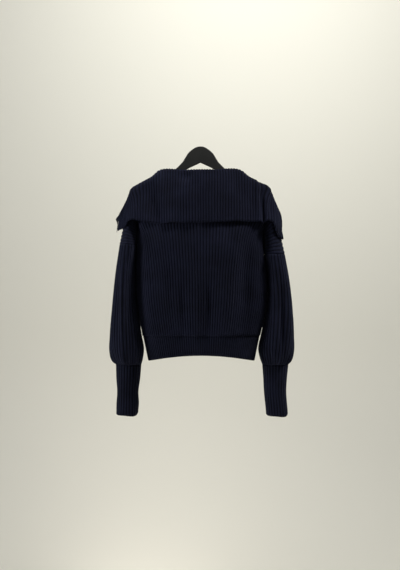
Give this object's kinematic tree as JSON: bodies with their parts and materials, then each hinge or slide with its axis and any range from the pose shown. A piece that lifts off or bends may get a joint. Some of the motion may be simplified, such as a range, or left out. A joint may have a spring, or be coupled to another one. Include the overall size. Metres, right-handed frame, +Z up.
{
  "type": "zip-up cardigan on a hanger",
  "caption": "Chunky ribbed zip-up cardigan with a large folded collar and balloon sleeves, hanging on a flat dark hanger.",
  "frame": {"origin": "top of the hanger's crown, in the middle of the plate", "axes": "+Z up, +Y the way the garment's front and zip face, +X towards the wearer's right"},
  "size_m": [0.5244, 0.1863, 0.768],
  "materials": {
    "navy_knit": "chunky rib knit",
    "navy_rib_band": "finer rib knit",
    "zip_tape": "woven tape",
    "zip_metal": "satin metal",
    "hanger": "matt"
  },
  "bodies": {
    "garment": {"back": "navy_knit", "collar": "navy_knit", "front_left": "navy_knit", "front_right": "navy_knit", "sleeve_left": "navy_knit", "sleeve_right": "navy_knit", "cuff_left": "navy_rib_band", "cuff_right": "navy_rib_band", "hem_band": "navy_rib_band", "zip_tape_left": "zip_tape", "zip_tape_right": "zip_tape", "collar_tape_left": "zip_tape", "collar_tape_right": "zip_tape", "zip_slider": "zip_metal", "hanger": "hanger"},
    "pull": {"zip_pull": "zip_metal"}
  },
  "joints": [
    {"name": "pull_hinge", "type": "hinge", "parent": "garment", "child": "pull", "pos_m": [0, 0.09141, -0.30144], "axis": [1, 0, 0], "range_deg": [0, 150]}
  ]
}
